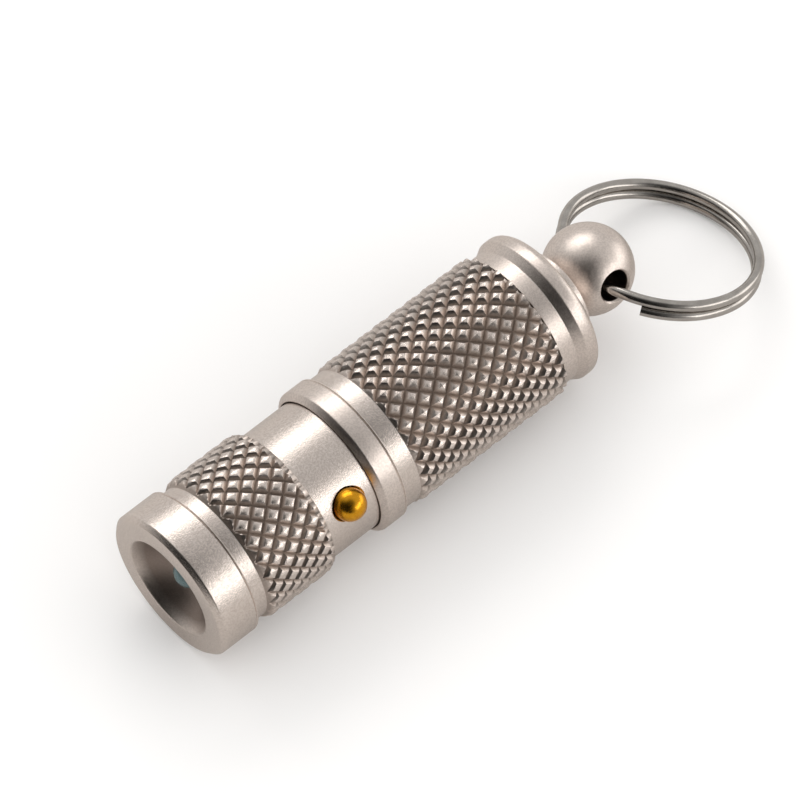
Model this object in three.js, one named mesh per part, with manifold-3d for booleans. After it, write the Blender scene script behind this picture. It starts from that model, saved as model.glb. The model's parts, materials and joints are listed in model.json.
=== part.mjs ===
import * as THREE from 'three';
import { mergeVertices } from 'three/addons/utils/BufferGeometryUtils.js';
import Module from 'manifold-3d';

// Keychain flashlight, millimetres. The torch lies along X with its light at -X and its
// key ring at +X, resting on its round body. The build starts at the front face, x = 0,
// and the whole torch is then shifted so that the origin is under its middle.

// ---------- driving dimensions ----------
const bodyRadius = 7.0;             // crest of the knurling, bezel, collar and tail cap
const runningGap = 0.1;             // radial clearance of turned pieces that pass each other
const seatGap = 0.05;               // clearance where one piece rests against another
const sealFit = 0.03;               // radial clearance of a rubber ring in its groove
const threadGap = 0.15;             // radial clearance of a thread or a turning stem
const cutterMargin = 1;             // how far a cutting solid reaches past the piece it cuts

const bezelLength = 3.83;
const bezelChamfer = 0.42;
const cupMouthRadius = 4.7;
const cupLip = 0.12;                // chamfer of the cup's mouth
const cupWaist = [0.5, 0.62];       // where the wall bends: shares of its depth and its width
const cupDepth = 2.7;
const cupFloorThickness = 0.3;
const domeRadius = 1.4;
const domeBase = 0.6;               // straight part of the dome under its round top
const domeClearance = 0.35;
const bezelSpigotRadius = 5.5;
const bezelSpigotLength = 3.1;
const bezelCavityRadius = 4.6;
const bezelGrooveRadius = 5.08;
const bezelGrooveOffset = 0.45;     // plain part of the spigot before its groove
const bezelGrooveWidth = 0.7;
const bezelSealRadius = 0.22;

const frontBandRadius = 6.47;
const frontBandLength = 1.33;
const frontKnurlChamfer = 0.68;     // axial length of the chamfer up to the knurling
const frontKnurlLength = 6.6;
const knurlEndChamfer = 0.25;
const tubeRadius = 6.3;
const tubeLength = 5.32;            // smooth part that shows between knurling and collar
const tubeBoreRadius = 4.7;
const tubeTongueLength = 0.9;       // smooth part that hides inside the collar
const threadRadius = 5.75;
const threadLength = 3.0;
const headGrooveRadius = 5.2;
const headGrooveOffset = 0.4;       // plain part behind the tongue before the groove
const headGrooveWidth = 0.7;
const headSealRadius = 0.3;

const packageSide = 3.45;
const packageHeight = 0.4;
const ledBoardThickness = 1.0;
const pillFlangeThickness = 1.5;
const pillFlangeStep = 0.55;        // how much smaller the pill's flange is than the spigot
const driverBoardThickness = 1.0;
const springWireRadius = 0.15;
const springLength = 1.2;
const leadRadius = 0.35;
const leadOffset = 2.6;             // distance of the leads from the middle, across the switch
const leadSpread = 0.9;             // half the distance between the two leads
const springTurns = 2.5;
const springFootRadius = 2.6;
const springTipRadius = 1.4;

const buttonPlace = 2.75;           // from the rear of the front knurling, along the tube
const buttonAngle = 58;             // degrees round the body from straight up
const buttonRadius = 1.45;
const buttonRise = 0.15;            // dome centre above the tube surface
const buttonTravel = 0.6;
const buttonFlangeRadius = 2.0;
const buttonFlangeThickness = 0.45;
const buttonSealRadius = 0.16;
const buttonGrooveHalf = 0.22;      // half the width of the groove round the button
const plungerRadius = 0.8;
const plungerReserve = 0.25;        // how far the plunger still stands out when pressed
const plungerRoot = 0.35;           // length of plunger inside the switch
const plungerWellFloor = 0.15;      // space under the pressed plunger
const switchSide = 4.0;
const switchHeight = 2.0;
const switchBoardThickness = 0.5;
const switchBoardShare = 0.85;      // width of the board as a share of the tube's chord
const switchBoardGap = 0.6;         // from the pill to the board, and from the housing to its chord

const collarLength = 2.45;
const collarChamfer = 0.48;
const collarOverlap = 1.45;         // length of barrel neck inside the collar
const barrelBandRadius = 6.65;
const barrelBandLength = 1.72;
const barrelKnurlChamfer = 0.49;
const barrelKnurlLength = 15.5;
const tailGrooveWidth = 0.25;

const cellRadius = 5.0;
const cellLength = 17.5;            // can without its raised terminal
const cellTerminalRadius = 2.0;
const cellTerminalHeight = 0.5;
const cellCrimpChamfer = 0.15;      // front edge of the can and of the terminal
const cellRearChamfer = 0.2;
const gasketWidth = 0.5;
const gasketHeight = 0.5;
const sleeveThickness = 0.1;
const sleeveFrontInset = 0.1;
const sleeveRearInset = 0.3;
const capSpigotLength = 3.0;
const capThreadWall = 0.55;         // from the cell bore to the cap's thread
const tailSealRadius = 0.2;
const tailSealSeat = 0.48;          // axial room for the seal behind the barrel
const tailContactThickness = 0.3;
const tailContactRise = 0.4;
const tailContactTipRadius = 1.6;
const tailContactRootRadius = 2.2;

const capBandRadius = 6.5;
const capBandLength = 1.47;
const capChamferLength = 0.69;
const capRimLength = 1.52;
const capRearRadius = 0.6;          // rounding of the rear edge
const bossRadius = 3.15;
const bossLength = 0.88;
const bossChamfer = 0.15;
const capWallThickness = 1.9;       // bearing length of the swivel stem, boss included
const clipPocketRadius = 3.2;

const ballRadius = 4.0;
const ballGap = 0.35;               // spherical seat clearance under the ball
const stemRadius = 1.6;
const stemGrooveDepth = 0.45;
const stemGrooveGap = 0.03;         // axial play of the clip and washer in the stem's groove
const stemTail = 0.25;              // stem left beyond the clip
const ballStandOff = 3.32;          // from the rear face of the boss to the ball centre
const clipThickness = 0.3;
const clipRadius = 2.7;
const clipGap = 0.06;               // radial play of the clip in the stem's groove
const clipMouth = 0.15;             // how much narrower the clip's slot is than the groove
const washerOverhang = 0.2;         // how far the washer stands out past the clip
const washerThickness = 0.15;
const ringHoleRadius = 1.4;
const ringHoleAngle = 69;           // degrees round the body from straight up
const ringHoleChamfer = 0.2;

const ringRadius = 8.45;            // to the middle of the wire
const ringWireRadius = 0.475;
const ringPitch = 1.0;              // between the two turns
const ringDroop = 21.8;             // degrees that the ring hangs below straight out
const ringLean = 11.7;              // degrees that the ring leans in its loose hole
const ringSideShift = 0.99;         // along the hole, from the middle of the ball
const ringPull = 0.9;               // from the hole axis out to the middle of the wire
const ringJoggle = 26;              // half the angle over which the wire changes turns
const ringNearCut = 36.5;           // from the joggle to the cut end of the lower turn
const ringFarCut = 38;              // from the joggle to the cut end of the upper turn

const facets = 36;                  // round the body; a flat, not a corner, is underneath
const smallFacets = 20;
const rodFacets = 12;
const sealSides = 6;
const arcSteps = 6;
const rimSteps = 3;
const ballSteps = 15;

// ---------- places along the axis, from the front face ----------
const frontBandStart = bezelLength;
const frontKnurlStart = frontBandStart + frontBandLength;
const frontKnurlEnd = frontKnurlStart + frontKnurlChamfer + frontKnurlLength;
const collarStart = frontKnurlEnd + tubeLength;
const collarEnd = collarStart + collarLength;
const barrelBandStart = collarEnd + seatGap;
const barrelStart = barrelBandStart - collarOverlap;
const barrelKnurlStart = barrelBandStart + barrelBandLength;
const barrelEnd = barrelKnurlStart + barrelKnurlChamfer + barrelKnurlLength;
const capStart = barrelEnd + tailGrooveWidth;
const capRimStart = capStart + capBandLength + capChamferLength;
const capEnd = capRimStart + capRimLength + capRearRadius;
const bossEnd = capEnd + bossLength;
const ballCentre = bossEnd + ballStandOff;
const tongueEnd = collarStart + tubeTongueLength;
const threadEnd = tongueEnd + threadLength;
const buttonX = frontKnurlEnd + buttonPlace;
const cellStart = threadEnd + seatGap;
const canStart = cellStart + cellTerminalHeight + seatGap;
const canEnd = canStart + cellLength;
const packageStart = cupDepth + cupFloorThickness + seatGap;
const ledBoardStart = packageStart + packageHeight + seatGap;
const pillStart = ledBoardStart + ledBoardThickness + seatGap;
const pillFlangeStart = bezelLength + bezelSpigotLength + seatGap;
const pillEnd = pillFlangeStart + pillFlangeThickness;
const springEnd = cellStart - seatGap;
const driverBoardEnd = springEnd - springLength;
const driverBoardStart = driverBoardEnd - driverBoardThickness;
const axisHeight = bodyRadius * Math.cos(Math.PI / facets);
const degrees = Math.PI / 180;

// ---------- materials ----------
function material(colour, roughness, metalness) {
  return new THREE.MeshStandardMaterial({ color: colour, roughness, metalness });
}
const satinNickel = () => material(0xc8bcb0, 0.38, 1.0);
const polishedSteel = () => material(0xa9a6a2, 0.15, 1.0);
const goldPlate = () => material(0xd9971f, 0.15, 1.0);
const brass = () => material(0xc9a650, 0.35, 1.0);
const blackRubber = () => material(0x1a1a1a, 0.8, 0.0);
const blackPlastic = () => material(0x222222, 0.5, 0.0);
const boardGreen = () => material(0x14532d, 0.5, 0.0);

// ---------- builders ----------
const wasm = await Module();
wasm.setup();

const torch = new THREE.Group();
torch.name = 'keychain_flashlight';

function signedArea(points) {
  let area = 0;
  for (let i = 0; i < points.length; i += 1) {
    const a = points[i];
    const b = points[(i + 1) % points.length];
    area += a[1] * b[0] - b[1] * a[0];
  }
  return area / 2;
}

// A turned solid: the outline is a closed loop of [place along the axis, radius] points.
function turned(outline, count = facets) {
  const loop = signedArea(outline) > 0 ? outline : outline.slice().reverse();
  const start = loop.findIndex((point) => point[1] === 0 && loop.some((other) => other[1] > 0));
  let points = loop;
  if (start >= 0) {
    const solidLoop = loop.slice(start).concat(loop.slice(0, start));
    const lastOnAxis = solidLoop.map((point) => point[1] === 0).lastIndexOf(true);
    points = lastOnAxis === solidLoop.length - 1 ? solidLoop
      : solidLoop.slice(lastOnAxis).concat(solidLoop.slice(0, lastOnAxis));
  } else {
    points = loop.concat([loop[0]]);
  }
  const profile = points.map((point) => new THREE.Vector2(point[1], point[0]));
  const geometry = new THREE.LatheGeometry(profile, count, Math.PI / count);
  return geometry.rotateZ(-Math.PI / 2);
}

// Points of a round stretch of an outline, from one angle to another about a centre.
function arc(centreX, centreR, radius, fromDegrees, toDegrees, steps) {
  const points = [];
  for (let i = 0; i <= steps; i += 1) {
    const angle = (fromDegrees + (toDegrees - fromDegrees) * i / steps) * degrees;
    const r = centreR + radius * Math.sin(angle);
    points.push([centreX + radius * Math.cos(angle), Math.abs(r) < 1e-9 ? 0 : r]);
  }
  return points;
}

function ringOutline(start, end, inner, outer) {
  return [[start, inner], [start, outer], [end, outer], [end, inner]];
}

function toSolid(geometry) {
  const bare = geometry.index ? geometry.toNonIndexed() : geometry.clone();
  bare.deleteAttribute('normal');
  bare.deleteAttribute('uv');
  const merged = mergeVertices(bare, 1e-4);
  return new wasm.Manifold(new wasm.Mesh({
    numProp: 3,
    vertProperties: new Float32Array(merged.attributes.position.array),
    triVerts: new Uint32Array(merged.index.array),
  }));
}

function toGeometry(solid) {
  const mesh = solid.getMesh();
  const geometry = new THREE.BufferGeometry();
  geometry.setAttribute('position', new THREE.BufferAttribute(mesh.vertProperties, 3));
  geometry.setIndex(new THREE.BufferAttribute(mesh.triVerts, 1));
  return geometry;
}

function cut(geometry, ...cutters) {
  let solid = toSolid(geometry);
  for (const cutter of cutters) {
    solid = solid.subtract(toSolid(cutter));
  }
  return toGeometry(solid);
}

function addMesh(parent, name, geometry, look) {
  const mesh = new THREE.Mesh(geometry, look);
  mesh.name = name;
  parent.add(mesh);
}

// Pieces on the torch axis are made with the axis through the origin and lifted together.
const axial = new THREE.Group();
axial.position.z = axisHeight;
torch.add(axial);

// ---------- bezel ring: turned ring with a satin cup round the light ----------
const bezelGrooveStart = bezelLength + bezelGrooveOffset;
function bezelRing() {
  const cupHole = domeRadius + domeClearance;
  const cupMiddle = [cupDepth * cupWaist[0], cupHole + (cupMouthRadius - cupHole) * cupWaist[1]];
  const groove = [bezelGrooveStart, bezelGrooveStart + bezelGrooveWidth];
  const shoulder = bodyRadius - bezelChamfer;
  return turned([
    [cupLip, cupMouthRadius], [0, cupMouthRadius + cupLip], [0, shoulder],
    [bezelChamfer, bodyRadius],
    [bezelLength, bodyRadius], [bezelLength, bezelSpigotRadius], [groove[0], bezelSpigotRadius],
    [groove[0], bezelGrooveRadius], [groove[1], bezelGrooveRadius],
    [groove[1], bezelSpigotRadius], [bezelLength + bezelSpigotLength, bezelSpigotRadius],
    [bezelLength + bezelSpigotLength, bezelCavityRadius],
    [cupDepth + cupFloorThickness, bezelCavityRadius], [cupDepth + cupFloorThickness, cupHole],
    [cupDepth, cupHole], cupMiddle,
  ]);
}
addMesh(axial, 'bezel_ring', bezelRing(), satinNickel());

function sealSection(centreX, centreRadius, sectionRadius) {
  return arc(centreX, centreRadius, sectionRadius, 0, 360, sealSides).slice(0, sealSides);
}

function oRing(centreX, centreRadius, sectionRadius) {
  return turned(sealSection(centreX, centreRadius, sectionRadius));
}
addMesh(axial, 'bezel_o_ring', oRing(bezelGrooveStart + bezelGrooveWidth / 2,
  bezelGrooveRadius + bezelSealRadius + sealFit, bezelSealRadius), blackRubber());

// ---------- light: package, clear dome, copper board and brass pill ----------
function ledDome() {
  const domeFoot = packageStart - seatGap;
  const top = arc(domeFoot - domeBase, 0, domeRadius, 180, 90, arcSteps);
  return turned([...top, [domeFoot, domeRadius], [domeFoot, 0]], smallFacets);
}
addMesh(axial, 'led_dome', ledDome(), material(0xd8e0c0, 0.05, 0.0));

const packagePlate = new THREE.BoxGeometry(packageHeight, packageSide, packageSide);
packagePlate.translate(packageStart + packageHeight / 2, 0, 0);
addMesh(axial, 'led_package', packagePlate, material(0xb9ac4a, 0.5, 0.0));

function rod(start, end, radius, offsetY, offsetZ) {
  const geometry = turned([[start, 0], [start, radius], [end, radius], [end, 0]], rodFacets);
  return geometry.translate(0, offsetY, offsetZ);
}
const leadAngle = (buttonAngle + 180) * degrees;
function leadPlace(side) {
  const out = [-Math.sin(leadAngle) * leadOffset, Math.cos(leadAngle) * leadOffset];
  const across = [Math.cos(leadAngle) * leadSpread * side, Math.sin(leadAngle) * leadSpread * side];
  return [out[0] + across[0], out[1] + across[1]];
}
const leadHoleRadius = leadRadius + runningGap;

const boardRadius = bezelCavityRadius - runningGap;
const ledBoard = turned([[ledBoardStart, 0], [ledBoardStart, boardRadius],
  [ledBoardStart + ledBoardThickness, boardRadius], [ledBoardStart + ledBoardThickness, 0]]);
addMesh(axial, 'led_board', ledBoard, material(0xb87333, 0.4, 0.9));

const pillFlangeRadius = bezelSpigotRadius - pillFlangeStep;
const pill = turned([[pillStart, 0], [pillStart, boardRadius], [pillFlangeStart, boardRadius],
  [pillFlangeStart, pillFlangeRadius], [pillEnd, pillFlangeRadius], [pillEnd, 0]]);
const leadHoles = [-1, 1].map((side) =>
  rod(pillStart - cutterMargin, pillEnd + cutterMargin, leadHoleRadius, ...leadPlace(side)));
addMesh(axial, 'led_pill', cut(pill, ...leadHoles), brass());

// ---------- head tube: knurled grip and smooth switch tube in one turned piece ----------
const buttonHoleRadius = buttonRadius + runningGap;
const headGrooveStart = tongueEnd + headGrooveOffset;
function headTube() {
  const knurlFoot = frontKnurlEnd - knurlEndChamfer;
  const threadBore = bezelSpigotRadius + runningGap;
  const grooveEnd = headGrooveStart + headGrooveWidth;
  const pillSeat = pillFlangeRadius + seatGap;
  const outline = [
    [frontBandStart + seatGap, threadBore], [frontBandStart + seatGap, frontBandRadius],
    [frontKnurlStart, frontBandRadius], [frontKnurlStart + frontKnurlChamfer, bodyRadius],
    [knurlFoot, bodyRadius], [frontKnurlEnd, bodyRadius - knurlEndChamfer],
    [frontKnurlEnd, tubeRadius], [tongueEnd, tubeRadius], [tongueEnd, threadRadius],
    [headGrooveStart, threadRadius], [headGrooveStart, headGrooveRadius],
    [grooveEnd, headGrooveRadius], [grooveEnd, threadRadius], [threadEnd, threadRadius],
    [threadEnd, tubeBoreRadius], [pillEnd + seatGap, tubeBoreRadius],
    [pillEnd + seatGap, pillSeat], [pillFlangeStart, pillSeat], [pillFlangeStart, threadBore],
  ];
  const hole = new THREE.CylinderGeometry(buttonHoleRadius, buttonHoleRadius, bodyRadius, smallFacets);
  hole.rotateX(Math.PI / 2).translate(0, 0, bodyRadius);
  hole.rotateX(buttonAngle * degrees).translate(buttonX, 0, 0);
  return cut(turned(outline), hole);
}
addMesh(axial, 'head_tube', headTube(), satinNickel());

addMesh(axial, 'head_o_ring', oRing(headGrooveStart + headGrooveWidth / 2,
  headGrooveRadius + headSealRadius + sealFit, headSealRadius), blackRubber());

// ---------- driver board, leads and the spring that meets the battery ----------
const driverRadius = tubeBoreRadius - runningGap;
const driver = turned([[driverBoardStart, 0], [driverBoardStart, driverRadius],
  [driverBoardEnd, driverRadius], [driverBoardEnd, 0]]);
addMesh(axial, 'driver_board', driver, boardGreen());

const leadStart = ledBoardStart + ledBoardThickness + seatGap / 2;
const leadEnd = driverBoardStart - seatGap;
addMesh(axial, 'red_lead', rod(leadStart, leadEnd, leadRadius, ...leadPlace(-1)),
  material(0xb3261e, 0.6, 0.0));
addMesh(axial, 'black_lead', rod(leadStart, leadEnd, leadRadius, ...leadPlace(1)), blackRubber());

class ConicalHelix extends THREE.Curve {
  constructor(startX, endX, startRadius, endRadius, turns) {
    super();
    Object.assign(this, { startX, endX, startRadius, endRadius, turns });
  }

  getPoint(t, target = new THREE.Vector3()) {
    const angle = t * this.turns * 2 * Math.PI;
    const radius = this.startRadius + (this.endRadius - this.startRadius) * t;
    const x = this.startX + (this.endX - this.startX) * t;
    return target.set(x, radius * Math.cos(angle), radius * Math.sin(angle));
  }
}

function roundSection(radius, sides) {
  const shape = new THREE.Shape();
  for (let i = 0; i < sides; i += 1) {
    const angle = (i + 0.5) * 2 * Math.PI / sides;
    const place = [radius * Math.cos(angle), radius * Math.sin(angle)];
    if (i === 0) {
      shape.moveTo(...place);
    } else {
      shape.lineTo(...place);
    }
  }
  shape.closePath();
  return shape;
}

function wire(curve, radius, sides, steps) {
  return new THREE.ExtrudeGeometry(roundSection(radius, sides),
    { extrudePath: curve, steps, bevelEnabled: false });
}
const springCurve = new ConicalHelix(driverBoardEnd + springWireRadius + seatGap,
  springEnd - springWireRadius - seatGap, springFootRadius, springTipRadius, springTurns);
const springSides = 6;
const springSteps = 40;
addMesh(axial, 'contact_spring',
  wire(springCurve, springWireRadius, springSides, springSteps), goldPlate());

// ---------- push button and its switch, on an axis across the tube ----------
const across = new THREE.Group();
across.position.x = buttonX;
across.rotation.x = buttonAngle * degrees;
axial.add(across);

// A solid turned about the button axis: outline of [height from the torch axis, radius].
function turnedUp(outline, count = smallFacets) {
  return turned(outline, count).rotateY(-Math.PI / 2);
}
const flangeTop = Math.sqrt(tubeBoreRadius ** 2 - buttonFlangeRadius ** 2) - runningGap;
const flangeBottom = flangeTop - buttonFlangeThickness;
const domeCentre = tubeRadius + buttonRise;
const sealPlace = (tubeRadius + tubeBoreRadius) / 2;
function pushButton() {
  const sealFloor = buttonHoleRadius - 2 * (buttonSealRadius + sealFit);
  const dome = arc(domeCentre, 0, buttonRadius, 90, 0, arcSteps);
  return turnedUp([
    [flangeBottom, 0], [flangeBottom, buttonFlangeRadius], [flangeTop, buttonFlangeRadius],
    [flangeTop, buttonRadius], [sealPlace - buttonGrooveHalf, buttonRadius],
    [sealPlace - buttonGrooveHalf, sealFloor], [sealPlace + buttonGrooveHalf, sealFloor],
    [sealPlace + buttonGrooveHalf, buttonRadius], ...dome,
  ]);
}
addMesh(across, 'push_button', pushButton(), goldPlate());

const buttonSealMiddle = buttonHoleRadius - buttonSealRadius - sealFit;
addMesh(across, 'button_o_ring',
  turnedUp(sealSection(sealPlace, buttonSealMiddle, buttonSealRadius)), blackRubber());

const switchTop = flangeBottom - buttonTravel - plungerReserve;
const plungerBottom = switchTop - plungerRoot;
const plungerTop = flangeBottom - seatGap;
const plunger = turnedUp([[plungerBottom, 0], [plungerBottom, plungerRadius],
  [plungerTop, plungerRadius], [plungerTop, 0]]);
addMesh(across, 'switch_plunger', plunger, blackPlastic());

const switchFloor = switchTop - switchHeight;
const housing = new THREE.BoxGeometry(switchSide, switchSide, switchHeight);
housing.translate(0, 0, switchFloor + switchHeight / 2);
const wellBottom = plungerBottom - buttonTravel - plungerWellFloor;
const wellRadius = plungerRadius + runningGap;
const well = turnedUp([[wellBottom, 0], [wellBottom, wellRadius],
  [switchTop + cutterMargin, wellRadius], [switchTop + cutterMargin, 0]]);
addMesh(across, 'switch_housing', cut(housing, well), blackPlastic());

const switchChord = 2 * Math.sqrt(tubeBoreRadius ** 2 - (switchFloor - switchBoardGap) ** 2);
const switchBoardWidth = switchBoardShare * switchChord;
const switchBoardStart = pillEnd + switchBoardGap;
const switchBoardLength = driverBoardStart - seatGap - switchBoardStart;
const switchBoard = new THREE.BoxGeometry(switchBoardLength, switchBoardWidth, switchBoardThickness);
switchBoard.translate(switchBoardStart + switchBoardLength / 2 - buttonX, 0,
  switchFloor - seatGap - switchBoardThickness / 2);
addMesh(across, 'switch_board', switchBoard, boardGreen());

// ---------- collar ring on the neck of the barrel ----------
const collarBore = tubeRadius + runningGap;
const collar = turned([[collarStart, collarBore], [collarStart, bodyRadius - collarChamfer],
  [collarStart + collarChamfer, bodyRadius], [collarEnd, bodyRadius], [collarEnd, collarBore]]);
addMesh(axial, 'barrel_collar', collar, satinNickel());

// ---------- barrel: knurled battery tube ----------
const headBore = threadRadius + threadGap;
const cellBore = cellRadius + sleeveThickness + runningGap;
const capThreadRadius = cellBore + capThreadWall;
const capThreadBore = capThreadRadius + runningGap;
const tailSealBore = capThreadBore + 2 * tailSealRadius;
const capSpigotStart = capStart - capSpigotLength;
function barrel() {
  const sealSeat = barrelEnd - tailSealSeat;
  return turned([
    [barrelStart, headBore], [barrelStart, collarBore - seatGap],
    [barrelBandStart, collarBore - seatGap], [barrelBandStart, barrelBandRadius],
    [barrelKnurlStart, barrelBandRadius], [barrelKnurlStart + barrelKnurlChamfer, bodyRadius],
    [barrelEnd, bodyRadius], [barrelEnd, tailSealBore], [sealSeat, tailSealBore],
    [sealSeat, capThreadBore], [capSpigotStart - seatGap, capThreadBore],
    [capSpigotStart - seatGap, cellBore], [threadEnd + seatGap, cellBore],
    [threadEnd + seatGap, headBore],
  ]);
}
addMesh(axial, 'barrel', barrel(), satinNickel());

// ---------- battery: can, gasket and terminal in an insulating sleeve ----------
const gasketRadius = cellRadius - gasketWidth;
const contactFace = canEnd + seatGap;
const cellCan = turned([[canStart + gasketHeight + seatGap, 0],
  [canStart + gasketHeight + seatGap, gasketRadius + seatGap],
  [canStart, gasketRadius + seatGap], [canStart, cellRadius - cellCrimpChamfer],
  [canStart + cellCrimpChamfer, cellRadius], [canEnd - cellRearChamfer, cellRadius],
  [canEnd, cellRadius - cellRearChamfer], [canEnd, 0]]);
addMesh(axial, 'battery_can', cellCan, material(0x8f9396, 0.3, 1.0));

const gasket = turned(ringOutline(canStart, canStart + gasketHeight,
  cellTerminalRadius + seatGap, gasketRadius));
addMesh(axial, 'battery_gasket', gasket, material(0xe8e4d8, 0.6, 0.0));

const terminal = turned([[cellStart, 0], [cellStart, cellTerminalRadius - cellCrimpChamfer],
  [cellStart + cellCrimpChamfer, cellTerminalRadius], [canStart + gasketHeight, cellTerminalRadius],
  [canStart + gasketHeight, 0]]);
addMesh(axial, 'battery_terminal', terminal, material(0xb9bcbe, 0.25, 1.0));

const sleeve = turned(ringOutline(canStart + sleeveFrontInset, canEnd - sleeveRearInset,
  cellRadius + sealFit, cellRadius + sleeveThickness));
addMesh(axial, 'battery_sleeve', sleeve, material(0x1f4f9a, 0.45, 0.0));

// ---------- tail contact: plated plate with a raised middle ----------
const contactPlateStart = contactFace + tailContactRise;
const contactPlateEnd = contactPlateStart + tailContactThickness;
const contactRadius = cellBore - runningGap;
const tailContact = turned([[contactFace, 0], [contactFace, tailContactTipRadius],
  [contactPlateStart, tailContactRootRadius],
  [contactPlateStart, contactRadius], [contactPlateEnd, contactRadius], [contactPlateEnd, 0]]);
addMesh(axial, 'tail_contact', tailContact, goldPlate());

// ---------- tail cap with its boss ----------
const bearingBore = stemRadius + threadGap;
const capWallStart = bossEnd - capWallThickness;
const seatRadius = ballRadius + ballGap;
function tailCap() {
  const seatMouth = Math.sqrt(seatRadius ** 2 - (ballCentre - bossEnd) ** 2);
  const seatRoot = ballCentre - Math.sqrt(seatRadius ** 2 - bearingBore ** 2);
  const seat = seatRoot < bossEnd ? [[bossEnd, seatMouth], [seatRoot, bearingBore]]
    : [[bossEnd, bearingBore]];
  const rim = arc(capEnd - capRearRadius, bodyRadius - capRearRadius, capRearRadius, 90, 0, rimSteps);
  return turned([
    [capSpigotStart, cellBore], [capSpigotStart, capThreadRadius], [capStart, capThreadRadius],
    [capStart, capBandRadius], [capStart + capBandLength, capBandRadius],
    [capRimStart, bodyRadius], ...rim, [capEnd, bossRadius], [bossEnd - bossChamfer, bossRadius],
    [bossEnd, bossRadius - bossChamfer], ...seat, [capWallStart, bearingBore],
    [capWallStart, clipPocketRadius], [contactPlateEnd + seatGap, clipPocketRadius],
    [contactPlateEnd + seatGap, cellBore],
  ]);
}
addMesh(axial, 'tail_cap', tailCap(), satinNickel());
addMesh(axial, 'tail_o_ring', oRing(barrelEnd - tailSealRadius - sealFit,
  capThreadRadius + tailSealRadius + sealFit, tailSealRadius), blackRubber());

// ---------- swivel: ball on a stem, held by a washer and a spring clip ----------
const washerStart = capWallStart - seatGap - washerThickness;
const clipStart = washerStart - seatGap - clipThickness;
const stemEnd = clipStart - stemTail;
const stemGroove = stemRadius - stemGrooveDepth;
function swivelBall() {
  const neckAngle = 180 - Math.asin(stemRadius / ballRadius) / degrees;
  const globe = arc(ballCentre, 0, ballRadius, neckAngle, 0, ballSteps);
  const grooveStart = clipStart - stemGrooveGap;
  const grooveEnd = washerStart - stemGrooveGap;
  const profile = turned([[stemEnd, 0], [stemEnd, stemRadius], [grooveStart, stemRadius],
    [grooveStart, stemGroove], [grooveEnd, stemGroove], [grooveEnd, stemRadius], ...globe]);
  const reach = ballRadius + cutterMargin;
  const edge = Math.sqrt(ballRadius ** 2 - ringHoleRadius ** 2) - ringHoleChamfer;
  const flare = ringHoleRadius + (reach - edge);
  const hole = turnedUp([[-reach, 0], [-reach, flare], [-edge, ringHoleRadius],
    [edge, ringHoleRadius], [reach, flare], [reach, 0]], smallFacets);
  hole.rotateX(ringHoleAngle * degrees).translate(ballCentre, 0, 0);
  return cut(profile, hole);
}
addMesh(axial, 'swivel_ball', swivelBall(), satinNickel());

const washer = turned(ringOutline(washerStart, washerStart + washerThickness,
  stemRadius + runningGap, clipRadius + washerOverhang));
addMesh(axial, 'swivel_washer', washer, brass());

function springClip() {
  const disc = turned(ringOutline(clipStart, clipStart + clipThickness,
    stemGroove + clipGap, clipRadius));
  const slot = new THREE.BoxGeometry(cutterMargin, 2 * (stemGroove - clipMouth), 2 * clipRadius);
  slot.translate(clipStart, 0, clipRadius);
  return cut(disc, slot);
}
addMesh(axial, 'swivel_clip', springClip(), polishedSteel());

// ---------- split ring: two turns of round wire through the ball ----------
class SplitRingCurve extends THREE.Curve {
  getPoint(t, target = new THREE.Vector3()) {
    const angle = ringNearCut + t * (720 - ringNearCut - ringFarCut);
    const change = THREE.MathUtils.clamp((angle - 360 + ringJoggle) / (2 * ringJoggle), 0, 1);
    const rise = change * change * (3 - 2 * change) - 0.5;
    return target.set(-ringRadius * Math.cos(angle * degrees), ringPitch * rise,
      ringRadius * Math.sin(angle * degrees));
  }
}

// In the ring's own frame Z is across the ball, Y is the ring's axis and the ball is at -X.
const ringSides = 8;
const ringSteps = 106;
const splitRing = wire(new SplitRingCurve(), ringWireRadius, ringSides, ringSteps);
splitRing.translate(ringRadius - ringPull, 0, ringSideShift);
const hang = new THREE.Group();
hang.position.x = ballCentre;
hang.rotation.x = (ringHoleAngle + ringLean) * degrees;
axial.add(hang);
const droop = new THREE.Group();
droop.rotation.z = -ringDroop * degrees;
hang.add(droop);
addMesh(droop, 'split_ring', splitRing, polishedSteel());

// ---------- place the origin under the middle of the torch ----------
torch.updateMatrixWorld(true);
const extent = new THREE.Box3().setFromObject(torch, true);
torch.position.x = -(extent.min.x + extent.max.x) / 2;
torch.position.y = -(extent.min.y + extent.max.y) / 2;
torch.position.z = -extent.min.z;

export default torch;
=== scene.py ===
import json
import math

import bmesh
import bpy
from mathutils import Matrix, Vector


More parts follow.
